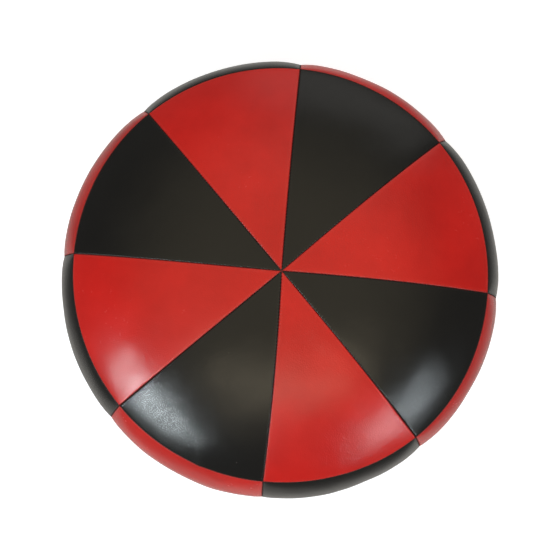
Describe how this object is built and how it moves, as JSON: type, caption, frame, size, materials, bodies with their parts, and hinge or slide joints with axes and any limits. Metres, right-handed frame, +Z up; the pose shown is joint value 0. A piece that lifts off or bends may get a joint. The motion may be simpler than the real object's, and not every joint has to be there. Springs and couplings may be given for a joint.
{
  "type": "leather pouf",
  "caption": "Round stuffed leather floor pouf with alternating red and black wedge and side panels, turned-in seams and a zipped flat base.",
  "frame": {"origin": "middle of the base, on the floor, under the point where the top panels meet", "axes": "+Z up; panel seams lie on the X and Y axes and halfway between; the zip runs along Y"},
  "size_m": [0.4954, 0.4954, 0.2816],
  "materials": {
    "red_leather": "smooth semi-gloss hide, fine grain",
    "black_leather": "smooth semi-gloss hide, fine grain",
    "seam_thread": "waxed thread",
    "zip_cloth": "woven tape",
    "zip_nylon": "satin nylon",
    "zip_metal": "nickel plated",
    "bag_cloth": "unbleached calico",
    "filling": "loose cotton fibre"
  },
  "bodies": {
    "pouf": {"base_panel_left": "black_leather", "base_panel_right": "black_leather", "base_seam_thread": "seam_thread", "centre_knot": "seam_thread", "inner_bag_bottom": "bag_cloth", "inner_bag_top": "bag_cloth", "inner_bag_wall": "bag_cloth", "rim_seam_thread": "seam_thread", "side_panel_1": "black_leather", "side_panel_2": "red_leather", "side_panel_3": "black_leather", "side_panel_4": "red_leather", "side_panel_5": "black_leather", "side_panel_6": "red_leather", "side_panel_7": "black_leather", "side_panel_8": "red_leather", "side_seam_thread_1": "seam_thread", "side_seam_thread_2": "seam_thread", "side_seam_thread_3": "seam_thread", "side_seam_thread_4": "seam_thread", "side_seam_thread_5": "seam_thread", "side_seam_thread_6": "seam_thread", "side_seam_thread_7": "seam_thread", "side_seam_thread_8": "seam_thread", "stuffing": "filling", "top_panel_1": "red_leather", "top_panel_2": "black_leather", "top_panel_3": "red_leather", "top_panel_4": "black_leather", "top_panel_5": "red_leather", "top_panel_6": "black_leather", "top_panel_7": "red_leather", "top_panel_8": "black_leather", "top_seam_thread_1": "seam_thread", "top_seam_thread_2": "seam_thread", "top_seam_thread_3": "seam_thread", "top_seam_thread_4": "seam_thread", "top_seam_thread_5": "seam_thread", "top_seam_thread_6": "seam_thread", "top_seam_thread_7": "seam_thread", "top_seam_thread_8": "seam_thread", "zip_bottom_stop": "zip_metal", "zip_coil_left": "zip_nylon", "zip_coil_right": "zip_nylon", "zip_stitching_left": "seam_thread", "zip_stitching_right": "seam_thread", "zip_tape_left": "zip_cloth", "zip_tape_right": "zip_cloth", "zip_top_stop_left": "zip_metal", "zip_top_stop_right": "zip_metal"},
    "slider": {"zip_slider": "zip_metal"},
    "pull_tab": {"zip_pull_tab": "zip_metal"}
  },
  "joints": [
    {"name": "zip_slide", "type": "slide", "parent": "pouf", "child": "slider", "axis": [0, -1, 0], "range_m": [0, 0.27]},
    {"name": "pull_tab_hinge", "type": "hinge", "parent": "slider", "child": "pull_tab", "pos_m": [0, 0.137, 0.00305], "axis": [1, 0, 0], "range_deg": [0, 170]}
  ]
}
